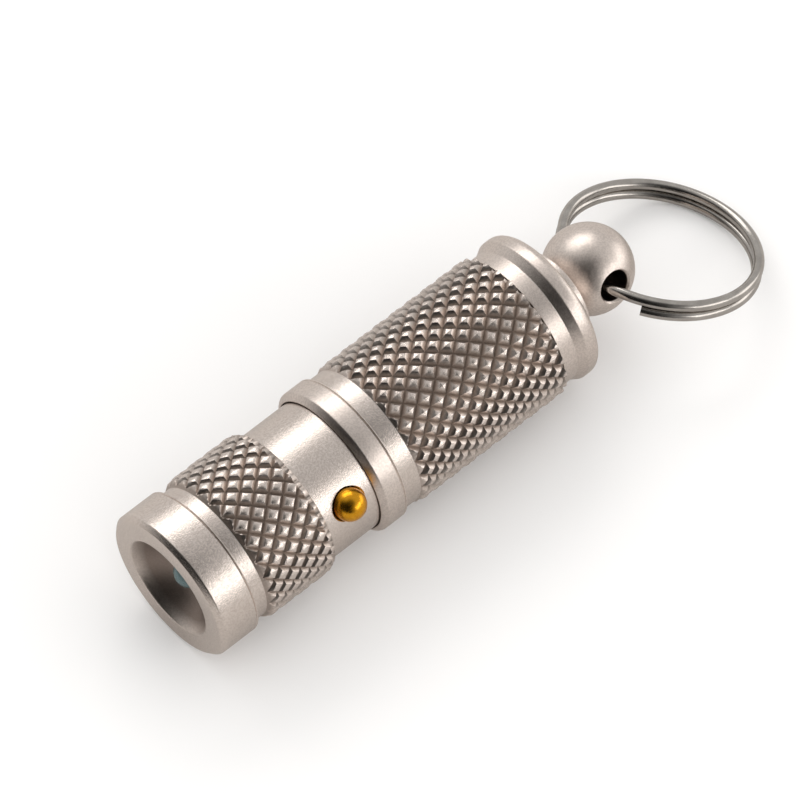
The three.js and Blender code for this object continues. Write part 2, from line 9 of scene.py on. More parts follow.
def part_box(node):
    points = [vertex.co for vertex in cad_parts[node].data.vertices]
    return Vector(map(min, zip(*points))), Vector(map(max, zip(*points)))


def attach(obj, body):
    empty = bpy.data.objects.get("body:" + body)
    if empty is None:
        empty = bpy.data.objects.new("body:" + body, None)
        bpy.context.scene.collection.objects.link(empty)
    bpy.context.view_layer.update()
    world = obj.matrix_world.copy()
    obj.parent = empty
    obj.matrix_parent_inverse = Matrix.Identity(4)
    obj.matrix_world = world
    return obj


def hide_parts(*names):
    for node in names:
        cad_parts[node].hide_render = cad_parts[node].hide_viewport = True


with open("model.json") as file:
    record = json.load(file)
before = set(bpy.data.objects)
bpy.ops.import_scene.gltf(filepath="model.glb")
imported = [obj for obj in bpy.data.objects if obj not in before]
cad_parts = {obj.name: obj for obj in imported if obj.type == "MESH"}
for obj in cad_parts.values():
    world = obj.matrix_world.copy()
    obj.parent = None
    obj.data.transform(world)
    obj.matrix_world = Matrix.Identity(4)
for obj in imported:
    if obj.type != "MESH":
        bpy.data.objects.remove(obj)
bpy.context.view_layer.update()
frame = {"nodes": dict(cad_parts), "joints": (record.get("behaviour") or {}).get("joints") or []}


# ---------- camera ----------
# A long lens looks down on the torch from over its front, far enough away that the light, the
# body and the key ring show together with hardly any perspective.
camera_azimuth = math.radians(-41.567)
camera_elevation = math.radians(58.919)
camera_lens = bpy.data.cameras.new("camera")
camera_lens.lens = 412.3
camera_lens.sensor_width = 36.0
camera_lens.clip_start = 0.05
camera_lens.clip_end = 10.0
camera = bpy.data.objects.new("camera", camera_lens)
camera_back = Vector((
    math.sin(camera_azimuth) * math.cos(camera_elevation),
    -math.cos(camera_azimuth) * math.cos(camera_elevation),
    math.sin(camera_elevation),
))
camera.location = (-0.26672, -0.29309, 0.66192)
camera.rotation_euler = (-camera_back).to_track_quat("-Z", "Y").to_euler()
bpy.context.scene.collection.objects.link(camera)
bpy.context.scene.camera = camera
bpy.context.scene.view_settings.view_transform = "Standard"


# ---------- studio light ----------
# A white room that is dimmer straight above and towards the torch's light, as a room is round
# a camera and a black flag, with soft boxes over the back, the front and the key ring's end.
def add_node(tree, kind, inputs=None, **settings):
    made = tree.nodes.new(kind)
    for name, value in settings.items():
        setattr(made, name, value)
    for name, value in (inputs or {}).items():
        socket = made.inputs[name]
        if isinstance(value, bpy.types.NodeSocket):
            tree.links.new(value, socket)
        else:
            socket.default_value = value
    return made


def maths_in(tree):
    """Gives a tree's own maths: each call adds one node and returns its result."""
    def maths(operation, *values):
        made = add_node(tree, "ShaderNodeMath", dict(enumerate(values)), operation=operation)
        return made.outputs[0]
    return maths


def vector_maths(tree, operation, *values):
    made = add_node(tree, "ShaderNodeVectorMath", dict(enumerate(values)), operation=operation)
    return made.outputs["Value" if operation in ("DOT_PRODUCT", "DISTANCE", "LENGTH") else "Vector"]


room_brightness = 0.62
room_on_table = 1.02
room_seen = 0.95
ceiling_dimming = 0.80
flag_dimming = 0.97
flag_direction = (-0.95, -0.24, 0.20)
ceiling_direction = (-0.20, -0.39, 0.88)
box_distance = 0.60


def dim_towards(tree, direction, near, far, amount):
    coordinate = add_node(tree, "ShaderNodeTexCoord")
    facing = vector_maths(tree, "DOT_PRODUCT", coordinate.outputs["Generated"],
                          Vector(direction).normalized())
    fade = add_node(tree, "ShaderNodeMapRange", {
        "Value": facing, "From Min": near, "From Max": far,
        "To Min": 1.0, "To Max": 1.0 - amount}, interpolation_type="SMOOTHSTEP")
    return fade.outputs["Result"]


world = bpy.data.worlds.new("studio")
world.use_nodes = True
studio = world.node_tree
studio.nodes.clear()
ceiling = dim_towards(studio, ceiling_direction, near=0.78, far=0.98, amount=ceiling_dimming)
flag = dim_towards(studio, flag_direction, near=0.20, far=0.80, amount=flag_dimming)
shade = maths_in(studio)("MULTIPLY", ceiling, flag)
lit_room = add_node(studio, "ShaderNodeBackground", {
    "Color": (1.0, 0.985, 0.965, 1.0),
    "Strength": maths_in(studio)("MULTIPLY", shade, room_brightness)})
seen_room = add_node(studio, "ShaderNodeBackground", {
    "Color": (1.0, 1.0, 1.0, 1.0), "Strength": room_seen})
even_room = add_node(studio, "ShaderNodeBackground", {
    "Color": (1.0, 0.99, 0.98, 1.0), "Strength": room_on_table})
ray = add_node(studio, "ShaderNodeLightPath")
on_matt = add_node(studio, "ShaderNodeMixShader", {
    0: ray.outputs["Is Diffuse Ray"], 1: lit_room.outputs[0], 2: even_room.outputs[0]})
room = add_node(studio, "ShaderNodeMixShader", {
    0: ray.outputs["Is Camera Ray"], 1: on_matt.outputs[0], 2: seen_room.outputs[0]})
add_node(studio, "ShaderNodeOutputWorld", {"Surface": room.outputs[0]})
bpy.context.scene.world = world


def soft_box(name, direction, width, depth, power):
    data = bpy.data.lights.new(name, "AREA")
    data.shape = "RECTANGLE"
    data.size = width
    data.size_y = depth
    data.energy = power
    data.color = (1.0, 0.97, 0.94)
    light = bpy.data.objects.new(name, data)
    aim = Vector(direction).normalized()
    light.location = aim * box_distance
    light.rotation_euler = aim.to_track_quat("Z", "Y").to_euler()
    bpy.context.scene.collection.objects.link(light)


soft_box("back_soft_box", (0.25, 0.66, 0.66), width=0.50, depth=0.24, power=0.82)
soft_box("front_soft_box", (0.40, -0.85, 0.36), width=0.50, depth=0.22, power=0.62)
soft_box("side_soft_box", (0.93, -0.33, 0.16), width=0.40, depth=0.20, power=0.38)


# ---------- table ----------
# A plain pale table top under the torch, with the faint mottling of matt laminate. Seen in the metal
# it is painted darker than it looks, a painted shade for paper below a light that is flagged off it.
MM = 0.001
body_radius = 7.0
bezel_low, bezel_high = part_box("bezel_ring")
axis = (bezel_low + bezel_high) / 2
front_face = bezel_low.x
table_half = 1.6


def new_material(name):
    made = bpy.data.materials.new(name)
    made.use_nodes = True
    made.node_tree.nodes.clear()
    return made, made.node_tree


def object_noise(tree, size_mm, detail=2.0, stretch=(1.0, 1.0, 1.0), seed=0.0):
    coordinate = add_node(tree, "ShaderNodeTexCoord")
    mapped = add_node(tree, "ShaderNodeMapping", {
        "Vector": coordinate.outputs["Object"], "Location": (seed, seed, seed), "Scale": stretch})
    noise = add_node(tree, "ShaderNodeTexNoise", {
        "Vector": mapped.outputs[0], "Scale": 1.0 / (size_mm * MM), "Detail": detail})
    return noise.outputs["Fac"]


def spread(tree, value, low, high, from_low=0.3, from_high=0.7):
    made = add_node(tree, "ShaderNodeMapRange", {
        "Value": value, "From Min": from_low, "From Max": from_high, "To Min": low, "To Max": high})
    return made.outputs["Result"]


def between(tree, factor, first, second):
    made = add_node(tree, "ShaderNodeMix", data_type="RGBA")
    tree.links.new(factor, made.inputs[0])
    for socket, colour in ((made.inputs[6], first), (made.inputs[7], second)):
        if isinstance(colour, bpy.types.NodeSocket):
            tree.links.new(colour, socket)
        else:
            socket.default_value = (*colour, 1.0)
    return made.outputs[2]


def bumps(tree, height, depth_mm, strength, under=None):
    made = add_node(tree, "ShaderNodeBump", {
        "Height": height, "Distance": depth_mm * MM, "Strength": strength})
    if under:
        tree.links.new(under, made.inputs["Normal"])
    return made.outputs["Normal"]


def surface(tree, colour, roughness, normal, **constants):
    shader = add_node(tree, "ShaderNodeBsdfPrincipled", {
        "Base Color": colour, "Roughness": roughness, "Normal": normal})
    for name, value in constants.items():
        shader.inputs[name.replace("_", " ")].default_value = value
    add_node(tree, "ShaderNodeOutputMaterial", {"Surface": shader.outputs[0]})


def pale_laminate_with_painted_shade():
    made, tree = new_material("pale_laminate_with_painted_shade")
    seen = add_node(tree, "ShaderNodeLightPath").outputs["Is Camera Ray"]
    mottling = between(tree, object_noise(tree, 40.0), (0.93, 0.93, 0.93), (0.95, 0.95, 0.95))
    # Rays other than the camera's see a darker table colour: painted shade in the metal's reflections.
    surface(tree, between(tree, seen, (0.56, 0.54, 0.52), mottling),
            spread(tree, object_noise(tree, 6.0), 0.75, 0.85),
            bumps(tree, object_noise(tree, 0.8), 0.02, 0.1), Metallic=0.0)
    return made


table_mesh = bpy.data.meshes.new("table_top")
table_height = axis.z - body_radius * MM
table_corners = [(x * table_half, y * table_half, table_height)
                 for x, y in ((-1, -1), (1, -1), (1, 1), (-1, 1))]
table_mesh.from_pydata(table_corners, [], [(0, 1, 2, 3)])
table_top = bpy.data.objects.new("table_top", table_mesh)
bpy.context.scene.collection.objects.link(table_top)
table_mesh.materials.append(pale_laminate_with_painted_shade())


# ---------- bezel ring ----------
# The ring round the light is turned from aluminium, bead blasted and plated in satin nickel.
# Its front is a smooth cup with a soft lip, and it screws into the head tube behind.
def eased(points, ease, steps=4):
    """Rounds every corner of an outline off the axis; a third number is that corner's own size."""
    made = []
    for index, (x, r, *own) in enumerate(points):
        size = own[0] if own else ease
        if r == 0 or size == 0:
            made.append((x, r))
            continue
        corner = Vector((x, r))
        before = Vector(points[index - 1][:2]) - corner
        after = Vector(points[(index + 1) % len(points)][:2]) - corner
        reach = min(size, before.length * 0.48, after.length * 0.48)
        first = corner + before.normalized() * reach
        last = corner + after.normalized() * reach
        for step in range(steps + 1):
            t = step / steps
            point = first * (1 - t) ** 2 + corner * 2 * t * (1 - t) + last * t * t
            made.append((point.x, point.y))
    return made


def arc(centre_x, centre_r, radius, start_degrees, end_degrees, steps):
    made = []
    for step in range(steps + 1):
        angle = math.radians(start_degrees + (end_degrees - start_degrees) * step / steps)
        r = centre_r + radius * math.sin(angle)
        made.append((centre_x + radius * math.cos(angle), 0.0 if abs(r) < 1e-6 else r))
    return made


def along(x):
    """The torch's own axis, with its zero at the place x."""
    return Matrix.Translation((x, axis.y, axis.z))


def from_groove(place, columns):
    """How many columns a place is from the nearest groove."""
    return min(place % columns, columns - place % columns)


def turned(name, outline, place, around=144, split=None):
    """Turns an outline of (millimetres along, radius) points. split = (first row, last row, columns
    in a diamond) folds those rows along the diagonals that a diamond's grooves follow."""
    shape = bmesh.new()
    rows = []
    for x, r in outline:
        count = around if r > 0 else 1
        angles = [2 * math.pi * column / around for column in range(count)]
        rows.append([shape.verts.new((x * MM, r * MM * math.cos(a), r * MM * math.sin(a)))
                     for a in angles])
    open_ended = any(len(row) == 1 for row in rows)
    for index in range(len(rows) - (1 if open_ended else 0)):
        here, following = rows[index], rows[(index + 1) % len(rows)]
        if len(here) == len(following) == 1:
            continue
        for column in range(around):
            beside = (column + 1) % around
            if len(here) == 1:
                shape.faces.new((here[0], following[column], following[beside]))
            elif len(following) == 1:
                shape.faces.new((here[column], following[0], here[beside]))
            elif split and split[0] <= index < split[1]:
                a, b = here[column], here[beside]
                c, d = following[beside], following[column]
                row = index - split[0]
                if from_groove(column - row, split[2]) < from_groove(column + row + 1, split[2]):
                    shape.faces.new((a, c, b))
                    shape.faces.new((a, d, c))
                else:
                    shape.faces.new((a, d, b))
                    shape.faces.new((b, d, c))
            else:
                shape.faces.new((here[column], following[column], following[beside], here[beside]))
    bmesh.ops.recalc_face_normals(shape, faces=shape.faces)
    shape.transform(place)
    mesh = bpy.data.meshes.new(name)
    shape.to_mesh(mesh)
    shape.free()
    made = bpy.data.objects.new(name, mesh)
    bpy.context.scene.collection.objects.link(made)
    return made


def fitted(piece, material, body, slot, *nodes, sharp=32.0):
    """Shades a finished piece, gives it its material and puts it in its node's place."""
    piece.data.materials.clear()
    piece.data.materials.append(material)
    piece.data.shade_smooth()
    piece.data.set_sharp_from_angle(angle=math.radians(sharp))
    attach(piece, body)
    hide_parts(*nodes)


grain_size = 0.085
plate_light = (0.840, 0.755, 0.700)
plate_dark = (0.800, 0.715, 0.660)
# Colour of the knurl's grooves: painted shade, with some grime.
groove_shade_and_grime = (0.50, 0.43, 0.385)
speckle_colour = (0.24, 0.20, 0.17)
speckle_strength = 0.20


def nickel(name, groove=None, stretch=None, painted_shade_colour=groove_shade_and_grime, bore=None):
    """Satin nickel plate over blasted metal. groove = (root, crest) radii paints a darker colour into
    what is cut between the two places of stretch, a painted shade with some grime. bore = (point,
    direction, radius) paints the inside of a drilled hole darker, a painted shade."""
    made, tree = new_material(name)
    maths = maths_in(tree)
    colour = between(tree, spread(tree, object_noise(tree, 2.6, 3.0), 0.0, 1.0), plate_light, plate_dark)
    roughness = spread(tree, object_noise(tree, 0.22, 3.0), 0.28, 0.38)
    place = add_node(tree, "ShaderNodeTexCoord").outputs["Object"]
    # Below the crest radius the colour is painted darker: painted shade in the cut, with some grime.
    if groove:
        from_axis = vector_maths(tree, "SUBTRACT", place, (0.0, axis.y, axis.z))
        radius = vector_maths(tree, "LENGTH", vector_maths(tree, "MULTIPLY", from_axis, (0.0, 1.0, 1.0)))
        height = spread(tree, radius, 0.0, 1.0, groove[0] * MM, groove[1] * MM)
        forward = add_node(tree, "ShaderNodeSeparateXYZ", {0: from_axis}).outputs[0]
        plain = maths("ADD", maths("LESS_THAN", forward, stretch[0]),
                      maths("GREATER_THAN", forward, stretch[1]))
        height = maths("MAXIMUM", plain, height)
        colour = between(tree, height, painted_shade_colour, colour)
        roughness = spread(tree, height, 0.40, 0.27, 0.0, 1.0)
    # Inside a drilled hole the colour is painted darker: painted shade.
    if bore:
        off_axis = vector_maths(tree, "CROSS_PRODUCT", vector_maths(tree, "SUBTRACT", place, bore[0]),
                                bore[1])
        in_hole = spread(tree, vector_maths(tree, "LENGTH", off_axis), 0.0, 1.0,
                         (bore[2] + 0.01) * MM, (bore[2] + 0.06) * MM)
        colour = between(tree, in_hole, painted_shade_colour, colour)
    speckle = spread(tree, object_noise(tree, grain_size * 2), 0.0, speckle_strength, 0.40, 0.60)
    blasted = bumps(tree, object_noise(tree, grain_size), 0.02, 0.9)
    surface(tree, between(tree, speckle, colour, speckle_colour), roughness,
            bumps(tree, object_noise(tree, 1.6, 1.0), 0.01, 0.05, blasted), Metallic=1.0)
    return made


satin_nickel = nickel("satin_nickel")

bezel_length = 3.83
bezel_chamfer = 0.42
cup_mouth_radius = 4.70
cup_depth = 2.7
cup_floor = 0.3
cup_hole_radius = 1.75
cup_lip = 0.20
spigot_radius = 5.5
spigot_length = 3.1
spigot_bore = 4.6
seal_groove_radius = 5.08
seal_groove = (0.45, 1.15)
cup_curve = 1.6
cup_steps = 18
# The cup's inside is painted darker within this radius: painted shade in its hollow.
cup_painted_shade_radius = 4.0
cup_painted_shade = (0.33, 0.27, 0.24)
rear_rim = 0.17
line_width = 0.17
line_depth = 0.11


def cup_wall():
    """The wall of the cup between its hole and its mouth: a shallow bowl that steepens outwards."""
    made = []
    for step in range(1, cup_steps):
        t = step / cup_steps
        depth = cup_depth * (1 - t ** cup_curve)
        made.append((depth, cup_hole_radius + (cup_mouth_radius - cup_hole_radius) * t, 0))
    return made


def turned_line(x):
    """A fine V line that the tool leaves round the outside of a plain ring."""
    return [(x - line_width / 2, body_radius, 0.02), (x, body_radius - line_depth, 0.01),
            (x + line_width / 2, body_radius, 0.02)]


bezel_back = bezel_length + spigot_length
bezel_outline = [
    *cup_wall(),
    (0.0, cup_mouth_radius, cup_lip),
    (0.0, body_radius - bezel_chamfer, 0.07),
    (bezel_chamfer, body_radius, 0.09),
    *turned_line(bezel_length - rear_rim),
    (bezel_length, body_radius, 0.05),
    (bezel_length, spigot_radius),
    (bezel_length + seal_groove[0], spigot_radius),
    (bezel_length + seal_groove[0], seal_groove_radius),
    (bezel_length + seal_groove[1], seal_groove_radius),
    (bezel_length + seal_groove[1], spigot_radius),
    (bezel_back, spigot_radius),
    (bezel_back, spigot_bore),
    (cup_depth + cup_floor, spigot_bore),
    (cup_depth + cup_floor, cup_hole_radius),
    (cup_depth, cup_hole_radius, 0.06),
]
bezel_ring = turned("bezel_ring_turned", eased(bezel_outline, 0.05), along(front_face), 192)
# The cup's material paints its inside darker towards the hole: painted shade.
cup_nickel_with_painted_shade = nickel("cup_nickel_with_painted_shade", groove=(cup_painted_shade_radius, cup_mouth_radius + 0.1),
                    stretch=(front_face - MM, front_face + (cup_depth + cup_floor) * MM),
                    painted_shade_colour=cup_painted_shade)
fitted(bezel_ring, cup_nickel_with_painted_shade, "head", "satin_nickel", "bezel_ring")


# ---------- bezel seal ----------
# A moulded black rubber ring in the groove of the bezel's spigot keeps water out of the head.
def rubber():
    made, tree = new_material("black_rubber")
    dust = object_noise(tree, 0.5, 4.0)
    surface(tree, between(tree, dust, (0.012, 0.012, 0.012), (0.030, 0.029, 0.028)),
            spread(tree, dust, 0.55, 0.75),
            bumps(tree, object_noise(tree, 0.15, 2.0), 0.01, 0.3), Metallic=0.0)
    return made


seal_steps = 24


def o_ring(name, node, material, body):
    """A round ring in the place of its node, on the torch's axis."""
    low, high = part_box(node)
    section = (high.x - low.x) / 2 / MM
    outer = (high.z - low.z) / 2 / MM
    last_angle = 360 - 360 / seal_steps
    ring_outline = arc(0.0, outer - section, section, 0, last_angle, seal_steps - 1)
    ring = turned(name, ring_outline, along((low.x + high.x) / 2), 96)
    fitted(ring, material, body, "black_rubber", node, sharp=60)


black_rubber = rubber()
o_ring("bezel_seal", "bezel_o_ring", black_rubber, "head")


# ---------- light: clear dome ----------
# The dome over the light is cast from clear silicone, and looks sea green against the metal.
def clear_silicone():
    made, tree = new_material("clear_silicone")
    surface(tree, (0.40, 0.60, 0.62, 1.0), spread(tree, object_noise(tree, 0.3), 0.03, 0.07),
            bumps(tree, object_noise(tree, 0.6), 0.01, 0.05),
            Metallic=0.0, Transmission_Weight=0.75, IOR=1.42)
    return made


dome_low, dome_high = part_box("led_dome")
dome_radius = (dome_high.z - dome_low.z) / 2 / MM
dome_base = (dome_high.x - dome_low.x) / MM - dome_radius
dome_outline = [*arc(-dome_base, 0.0, dome_radius, 180, 90, 16), (0.0, dome_radius), (0.0, 0.0)]
dome = turned("light_dome", dome_outline, along(dome_high.x), 64)
fitted(dome, clear_silicone(), "head", "clear_silicone", "led_dome")


# ---------- light: package ----------
# Under the dome is a white ceramic tile that carries the yellow phosphor disc of the light.
package_low, package_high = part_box("led_package")
phosphor_radius = 1.12
phosphor_blur = 0.06
phosphor_thickness = 0.03
phosphor_proud = 0.04
tile_bevel = 0.05


def phosphor_on_ceramic():
    made, tree = new_material("phosphor_on_ceramic")
    place = add_node(tree, "ShaderNodeTexCoord").outputs["Object"]
    off_middle = vector_maths(tree, "DISTANCE", place, (package_low.x, axis.y, axis.z))
    on_tile = spread(tree, off_middle, 0.0, 1.0,
                     phosphor_radius * MM, (phosphor_radius + phosphor_blur) * MM)
    phosphor = between(tree, object_noise(tree, 0.12), (0.66, 0.60, 0.13), (0.78, 0.72, 0.20))
    surface(tree, between(tree, on_tile, phosphor, (0.30, 0.33, 0.36)),
            spread(tree, object_noise(tree, 0.2), 0.45, 0.6),
            bumps(tree, object_noise(tree, 0.08), 0.01, 0.2), Metallic=0.0)
    return made


tile = bmesh.new()
bmesh.ops.create_cube(tile, size=1.0)
tile_size = package_high - package_low - Vector((phosphor_proud * MM, 0, 0))
tile_middle = (package_low + package_high) / 2 + Vector((phosphor_proud * MM / 2, 0, 0))
tile.transform(Matrix.Translation(tile_middle) @ Matrix.Diagonal((*tile_size, 1.0)))
bmesh.ops.bevel(tile, geom=tile.edges, offset=tile_bevel * MM, segments=2, affect="EDGES")
disc_middle = package_low.x + (phosphor_proud - phosphor_thickness / 2) * MM
bmesh.ops.create_cone(tile, cap_ends=True, segments=48, depth=phosphor_thickness * MM,
                      radius1=phosphor_radius * MM, radius2=phosphor_radius * MM,
                      matrix=along(disc_middle) @ Matrix.Rotation(math.pi / 2, 4, "Y"))
tile_mesh = bpy.data.meshes.new("light_package")
tile.to_mesh(tile_mesh)
tile.free()
package = bpy.data.objects.new("light_package", tile_mesh)
bpy.context.scene.collection.objects.link(package)
fitted(package, phosphor_on_ceramic(), "head", "led_phosphor", "led_package")


# ---------- light: copper board and brass pill ----------
# The light is soldered to a copper core board, which is clamped to a turned brass pill that
# carries the heat into the head tube.
def bare_metal(name, light, dark, low, high, grain_mm=0.3):
    made, tree = new_material(name)
    patch = object_noise(tree, grain_mm * 6, 3.0)
    surface(tree, between(tree, spread(tree, patch, 0.0, 1.0), light, dark),
            spread(tree, object_noise(tree, grain_mm, 3.0), low, high),
            bumps(tree, object_noise(tree, grain_mm / 3), 0.008, 0.2), Metallic=1.0)
    return made


def dressed(material, *nodes):
    """Gives a node that keeps its own shape its material."""
    for name in nodes:
        mesh = frame["nodes"][name].data
        mesh.materials.clear()
        mesh.materials.append(material)


copper = bare_metal("copper_board", (0.80, 0.40, 0.22), (0.62, 0.28, 0.14), 0.30, 0.45)
brass = bare_metal("turned_brass", (0.76, 0.58, 0.27), (0.66, 0.48, 0.20), 0.22, 0.38)
dressed(copper, "led_board")
dressed(brass, "led_pill")


# ---------- head tube ----------
# The head is one turned tube: a plain band, a grip with crossed knurling cut at 45 degrees and
# left flat on top, a smooth neck for the button, and a thread that goes into the barrel.
def socket_of(tree, name):
    return next(item.identifier for item in tree.interface.items_tree if item.name == name)


def knurling_tree():
    """Cuts two crossed sets of V grooves into the outside of a turned piece."""
    tree = bpy.data.node_groups.new("crossed_knurling", "GeometryNodeTree")
    tree.interface.new_socket("Geometry", in_out="OUTPUT", socket_type="NodeSocketGeometry")
    for name, kind in (("Geometry", "Geometry"), ("Axis", "Vector"), ("Start", "Float"),
                       ("Finish", "Float"), ("Diamonds", "Float"), ("Pitch", "Float"),
                       ("Crest", "Float"), ("Depth", "Float"), ("Sharpness", "Float"),
                       ("Crown", "Float"), ("Burr", "Float"), ("Material", "Material")):
        tree.interface.new_socket(name, in_out="INPUT", socket_type="NodeSocket" + kind)
    given = add_node(tree, "NodeGroupInput").outputs
    maths = maths_in(tree)
    position = add_node(tree, "GeometryNodeInputPosition").outputs[0]
    local = vector_maths(tree, "SUBTRACT", position, given["Axis"])
    parts = add_node(tree, "ShaderNodeSeparateXYZ", {0: local}).outputs
    radius = maths("SQRT", maths("ADD", maths("MULTIPLY", parts[1], parts[1]),
                                 maths("MULTIPLY", parts[2], parts[2])))
    turns = maths("DIVIDE", maths("ARCTAN2", parts[2], parts[1]), 2 * math.pi)
    round_count = maths("MULTIPLY", turns, given["Diamonds"])
    along_count = maths("DIVIDE", parts[0], given["Pitch"])
    one_way = maths("PINGPONG", maths("ADD", round_count, along_count), 0.5)
    other_way = maths("PINGPONG", maths("SUBTRACT", round_count, along_count), 0.5)
    height = maths("MULTIPLY", maths("MINIMUM", one_way, other_way), 2.0)
    flat_top = maths("MINIMUM", maths("MULTIPLY", height, given["Sharpness"]), 1.0)
    crown = maths("MULTIPLY", height, given["Crown"])
    cut_off = maths("ADD", crown, maths("MULTIPLY", flat_top, maths("SUBTRACT", 1.0, given["Crown"])))
    noise = add_node(tree, "ShaderNodeTexNoise", {
        "Vector": position, "Scale": 1.0 / (burr_patch * MM), "Detail": 1.0}).outputs[0]
    burr = maths("MULTIPLY", maths("SUBTRACT", noise, 0.5), given["Burr"])
    root = maths("SUBTRACT", given["Crest"], given["Depth"])
    cut_radius = maths("ADD", maths("ADD", root, maths("MULTIPLY", cut_off, given["Depth"])), burr)
    new_radius = maths("MINIMUM", radius, cut_radius)
    ratio = maths("DIVIDE", new_radius, radius)
    moved = add_node(tree, "ShaderNodeCombineXYZ", {
        0: parts[0], 1: maths("MULTIPLY", parts[1], ratio), 2: maths("MULTIPLY", parts[2], ratio)})
    placed = vector_maths(tree, "ADD", moved.outputs[0], given["Axis"])
    inside = maths("MULTIPLY", maths("GREATER_THAN", parts[0], given["Start"]),
                   maths("LESS_THAN", parts[0], given["Finish"]))
    outside = maths("MULTIPLY", inside, maths("GREATER_THAN", radius, root))
    set_position = add_node(tree, "GeometryNodeSetPosition", {
        "Geometry": given["Geometry"], "Selection": outside, "Position": placed})
    real = add_node(tree, "GeometryNodeRealizeInstances", {0: set_position.outputs[0]})
    painted = add_node(tree, "GeometryNodeSetMaterial", {
        "Geometry": real.outputs[0], "Material": given["Material"]})
    add_node(tree, "NodeGroupOutput", {0: painted.outputs[0]})
    return tree


def grown(piece, tree, values):
    """Runs a tree on a piece with the given named inputs, and keeps the result as its mesh."""
    modifier = piece.modifiers.new("grown", "NODES")
    modifier.node_group = tree
    for name, value in values.items():
        modifier[socket_of(tree, name)] = value
    return settled(piece)


def settled(piece):
    """Keeps the result of a piece's modifiers as its plain mesh."""
    graph = bpy.context.evaluated_depsgraph_get()
    mesh = bpy.data.meshes.new_from_object(piece.evaluated_get(graph), depsgraph=graph)
    piece.modifiers.clear()
    old = piece.data
    piece.data = mesh
    bpy.data.meshes.remove(old)
    return piece


def joined(piece, tool, operation):
    """Cuts a tool out of a piece or welds it on, and removes the tool."""
    modifier = piece.modifiers.new("joined", "BOOLEAN")
    modifier.operation = operation
    modifier.solver = "EXACT"
    modifier.object = tool
    settled(piece)
    bpy.data.objects.remove(tool)
    return piece


diamonds = 26
columns = 10
pitch = 1.77
row_step = pitch / columns
burr_patch = 1.3
knurling = knurling_tree()


def knurl_rows(start, finish, radius_at):
    """Rows of a knurled stretch, spaced so that the grooves run through their corners."""
    count = int((finish - start) / row_step + 1e-6)
    return [(start + row_step * row, radius_at(start + row_step * row), 0) for row in range(count + 1)]


def ramp(foot, foot_radius, top, top_radius):
    """Radius along a chamfer that climbs from its foot to its top, and the top's radius after."""
    def radius_at(x):
        share = min(max((x - foot) / (top - foot), 0.0), 1.0)
        return foot_radius + (top_radius - foot_radius) * share
    return radius_at


def knurled(name, before, rows, after, place, values, material):
    """A turned piece whose rows are knurled between the eased stretches before and after them."""
    loop = [*before, *rows, *after]
    outline = eased(loop, 0.05)
    first = next(index for index, point in enumerate(outline) if point == rows[0][:2])
    made = turned(name, outline, place, diamonds * columns, (first, first + len(rows) - 1, columns))
    origin = place @ Vector((rows[0][0] * MM, 0.0, 0.0))
    return grown(made, knurling, {
        "Axis": origin, "Start": -0.01 * MM, "Finish": (after[0][0] - rows[0][0] + 0.05) * MM,
        "Diamonds": float(diamonds), "Pitch": pitch * MM, "Crest": body_radius * MM,
        "Material": material, **values})


head_low, head_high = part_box("head_tube")
band_radius = 6.47
band_length = 1.28
front_chamfer = 0.68
grip_length = 6.6
grip_end_chamfer = 0.25
neck_radius = 6.3
neck_bore = 4.7
neck_end = 14.82
neck_groove = (neck_end + 0.4, neck_end + 1.1)
neck_groove_radius = 5.2
thread_radius = 5.75
thread_root = thread_radius - 0.25
thread_relief = thread_radius - 0.05
thread_pitch = 0.5
thread_runout = 0.2
head_bore = 5.6
grip_start = band_length + front_chamfer
grip_end = grip_start + grip_length
pill_seat = 5.0
pill_front = 3.1
pill_back = 4.65
head_length = (head_high.x - head_low.x) / MM
thread_start = neck_end + 1.15
thread_crests = int((head_length - thread_start - thread_runout) / thread_pitch)

thread_profile = []
for crest in range(thread_crests):
    thread_profile.append((thread_start + crest * thread_pitch, thread_radius, 0.04))
    thread_profile.append((thread_start + (crest + 0.5) * thread_pitch, thread_root, 0.04))
grip_rows = knurl_rows(grip_start - 3 * row_step, grip_end - grip_end_chamfer,
                       ramp(band_length, band_radius, grip_start, body_radius))
# The grip's grooves are painted darker: painted shade with some grime.
knurled_nickel_groove_shade_and_grime = nickel("knurled_nickel_groove_shade_and_grime", groove=(6.66, 6.92), stretch=(
    head_low.x + band_length * MM, head_low.x + (grip_end + 0.01) * MM))
head_tube = knurled(
    "head_tube_turned",
    [(0.0, head_bore), (0.0, band_radius, 0.08), (band_length, band_radius, 0.05)],
    grip_rows,
    [(grip_end, body_radius - grip_end_chamfer, 0), (grip_end, neck_radius, 0.05),
     (neck_end, neck_radius, 0.08), (neck_end, thread_relief),
     (neck_groove[0], thread_relief), (neck_groove[0], neck_groove_radius),
     (neck_groove[1], neck_groove_radius), (neck_groove[1], thread_root), *thread_profile,
     (head_length, thread_root), (head_length, neck_bore),
     (pill_back, neck_bore), (pill_back, pill_seat), (pill_front, pill_seat),
     (pill_front, head_bore)],
    along(head_low.x),
    {"Depth": 0.40 * MM, "Sharpness": 2.2, "Crown": 0.22, "Burr": 0.06 * MM}, knurled_nickel_groove_shade_and_grime)

